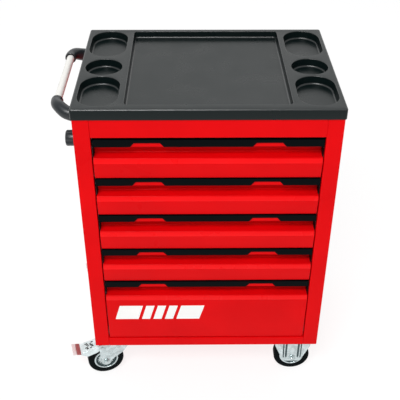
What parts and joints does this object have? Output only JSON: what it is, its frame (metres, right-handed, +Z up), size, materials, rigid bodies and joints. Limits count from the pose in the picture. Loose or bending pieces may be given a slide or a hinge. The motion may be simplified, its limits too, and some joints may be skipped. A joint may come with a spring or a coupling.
{
  "type": "tool cart",
  "caption": "Rolling tool cart with telescopic drawers, a moulded work-top tray with cups, a side push handle, a central lock, and swivel and fixed casters.",
  "frame": {"origin": "on the floor, below the centre of the footprint's bounding box", "axes": "+Z up, drawers open towards -Y, push handle on the -X side"},
  "size_m": [0.6918, 0.4598, 0.871],
  "materials": {
    "red_paint": "smooth gloss powder coat",
    "worktop_plastic": "fine-grained matte moulding",
    "black_plastic": "satin moulding",
    "light_tube": "light grey satin coating",
    "slide_steel": "rolled and zinc plated",
    "zinc_steel": "bright zinc-plated stamping",
    "tyre": "matte black rubber"
  },
  "bodies": {
    "cabinet": {"side_panel_left": "red_paint", "side_panel_right": "red_paint", "header_rail": "red_paint", "sill_rail": "red_paint", "base_panel": "red_paint", "back_panel": "red_paint", "worktop_tray": "worktop_plastic", "inner_wall_left": "slide_steel", "inner_wall_right": "slide_steel", "lock_housing": "black_plastic", "handle_tube": "light_tube", "handle_elbow_front": "black_plastic", "handle_elbow_rear": "black_plastic", "caster_bracket_front_right": "zinc_steel", "caster_bracket_rear_right": "zinc_steel", "axle_bolt_front_right": "zinc_steel", "axle_bolt_rear_right": "zinc_steel", "swivel_plate_front_left": "zinc_steel", "swivel_plate_rear_left": "zinc_steel"},
    "drawer_1": {"drawer_box_1": "red_paint", "drawer_front_1": "red_paint", "drawer_pull_trim_1": "black_plastic"},
    "slides_1": {"slide_middle_left_1": "slide_steel", "slide_middle_right_1": "slide_steel"},
    "drawer_2": {"drawer_box_2": "red_paint", "drawer_front_2": "red_paint", "drawer_pull_trim_2": "black_plastic"},
    "slides_2": {"slide_middle_left_2": "slide_steel", "slide_middle_right_2": "slide_steel"},
    "drawer_3": {"drawer_box_3": "red_paint", "drawer_front_3": "red_paint", "drawer_pull_trim_3": "black_plastic"},
    "slides_3": {"slide_middle_left_3": "slide_steel", "slide_middle_right_3": "slide_steel"},
    "drawer_4": {"drawer_box_4": "red_paint", "drawer_front_4": "red_paint", "drawer_pull_trim_4": "black_plastic"},
    "slides_4": {"slide_middle_left_4": "slide_steel", "slide_middle_right_4": "slide_steel"},
    "drawer_5": {"drawer_box_5": "red_paint", "drawer_front_5": "red_paint", "drawer_pull_trim_5": "black_plastic"},
    "slides_5": {"slide_middle_left_5": "slide_steel", "slide_middle_right_5": "slide_steel"},
    "lock_barrel": {"lock_barrel": "slide_steel"},
    "lock_bar": {"lock_bar": "slide_steel"},
    "swivel_front_left": {"swivel_fork_front_left": "zinc_steel", "axle_bolt_front_left": "zinc_steel"},
    "brake_front_left": {"brake_pedal_front_left": "zinc_steel"},
    "wheel_front_left": {"wheel_rim_front_left": "zinc_steel", "tyre_front_left": "tyre"},
    "wheel_front_right": {"wheel_rim_front_right": "zinc_steel", "tyre_front_right": "tyre"},
    "swivel_rear_left": {"swivel_fork_rear_left": "zinc_steel", "axle_bolt_rear_left": "zinc_steel"},
    "brake_rear_left": {"brake_pedal_rear_left": "zinc_steel"},
    "wheel_rear_left": {"wheel_rim_rear_left": "zinc_steel", "tyre_rear_left": "tyre"},
    "wheel_rear_right": {"wheel_rim_rear_right": "zinc_steel", "tyre_rear_right": "tyre"}
  },
  "joints": [
    {"name": "drawer_1_slide", "type": "slide", "parent": "cabinet", "child": "drawer_1", "axis": [0, -1, 0], "range_m": [0, 0.38]},
    {"name": "slides_1_slide", "type": "slide", "parent": "cabinet", "child": "slides_1", "axis": [0, -1, 0], "range_m": [0, 0.19]},
    {"name": "drawer_2_slide", "type": "slide", "parent": "cabinet", "child": "drawer_2", "axis": [0, -1, 0], "range_m": [0, 0.38]},
    {"name": "slides_2_slide", "type": "slide", "parent": "cabinet", "child": "slides_2", "axis": [0, -1, 0], "range_m": [0, 0.19]},
    {"name": "drawer_3_slide", "type": "slide", "parent": "cabinet", "child": "drawer_3", "axis": [0, -1, 0], "range_m": [0, 0.38]},
    {"name": "slides_3_slide", "type": "slide", "parent": "cabinet", "child": "slides_3", "axis": [0, -1, 0], "range_m": [0, 0.19]},
    {"name": "drawer_4_slide", "type": "slide", "parent": "cabinet", "child": "drawer_4", "axis": [0, -1, 0], "range_m": [0, 0.38]},
    {"name": "slides_4_slide", "type": "slide", "parent": "cabinet", "child": "slides_4", "axis": [0, -1, 0], "range_m": [0, 0.19]},
    {"name": "drawer_5_slide", "type": "slide", "parent": "cabinet", "child": "drawer_5", "axis": [0, -1, 0], "range_m": [0, 0.38]},
    {"name": "slides_5_slide", "type": "slide", "parent": "cabinet", "child": "slides_5", "axis": [0, -1, 0], "range_m": [0, 0.19]},
    {"name": "lock_barrel_turn", "type": "hinge", "parent": "cabinet", "child": "lock_barrel", "pos_m": [-0.2851, -0.16706, 0.764], "axis": [1, 0, 0], "range_deg": [0, 90]},
    {"name": "lock_bar_lift", "type": "slide", "parent": "cabinet", "child": "lock_bar", "axis": [0, 0, 1], "range_m": [0, 0.01]},
    {"name": "swivel_front_left_turn", "type": "hinge", "parent": "cabinet", "child": "swivel_front_left", "pos_m": [-0.2121, -0.17706, 0.11], "axis": [0, 0, 1], "continuous": true},
    {"name": "brake_front_left_press", "type": "hinge", "parent": "swivel_front_left", "child": "brake_front_left", "pos_m": [-0.26233, -0.19051, 0.1055], "axis": [0.2588, -0.9659, 0], "range_deg": [0, 16]},
    {"name": "wheel_front_left_spin", "type": "hinge", "parent": "swivel_front_left", "child": "wheel_front_left", "pos_m": [-0.2546, -0.18844, 0.0508], "axis": [-0.2588, 0.9659, 0], "continuous": true},
    {"name": "wheel_front_right_spin", "type": "hinge", "parent": "cabinet", "child": "wheel_front_right", "pos_m": [0.2819, -0.17706, 0.0508], "axis": [0, 1, 0], "continuous": true},
    {"name": "swivel_rear_left_turn", "type": "hinge", "parent": "cabinet", "child": "swivel_rear_left", "pos_m": [-0.2121, 0.17894, 0.11], "axis": [0, 0, 1], "continuous": true},
    {"name": "brake_rear_left_press", "type": "hinge", "parent": "swivel_rear_left", "child": "brake_rear_left", "pos_m": [-0.26233, 0.16548, 0.1055], "axis": [0.2588, -0.9659, 0], "range_deg": [0, 16]},
    {"name": "wheel_rear_left_spin", "type": "hinge", "parent": "swivel_rear_left", "child": "wheel_rear_left", "pos_m": [-0.2546, 0.16756, 0.0508], "axis": [-0.2588, 0.9659, 0], "continuous": true},
    {"name": "wheel_rear_right_spin", "type": "hinge", "parent": "cabinet", "child": "wheel_rear_right", "pos_m": [0.2819, 0.17894, 0.0508], "axis": [0, 1, 0], "continuous": true}
  ],
  "couplings": [
    {"joint": "slides_1_slide", "follows": "drawer_1_slide", "ratio": 0.5},
    {"joint": "slides_2_slide", "follows": "drawer_2_slide", "ratio": 0.5},
    {"joint": "slides_3_slide", "follows": "drawer_3_slide", "ratio": 0.5},
    {"joint": "slides_4_slide", "follows": "drawer_4_slide", "ratio": 0.5},
    {"joint": "slides_5_slide", "follows": "drawer_5_slide", "ratio": 0.5},
    {"joint": "lock_barrel_turn", "follows": "lock_bar_lift", "rad_per_m": 157.08}
  ]
}
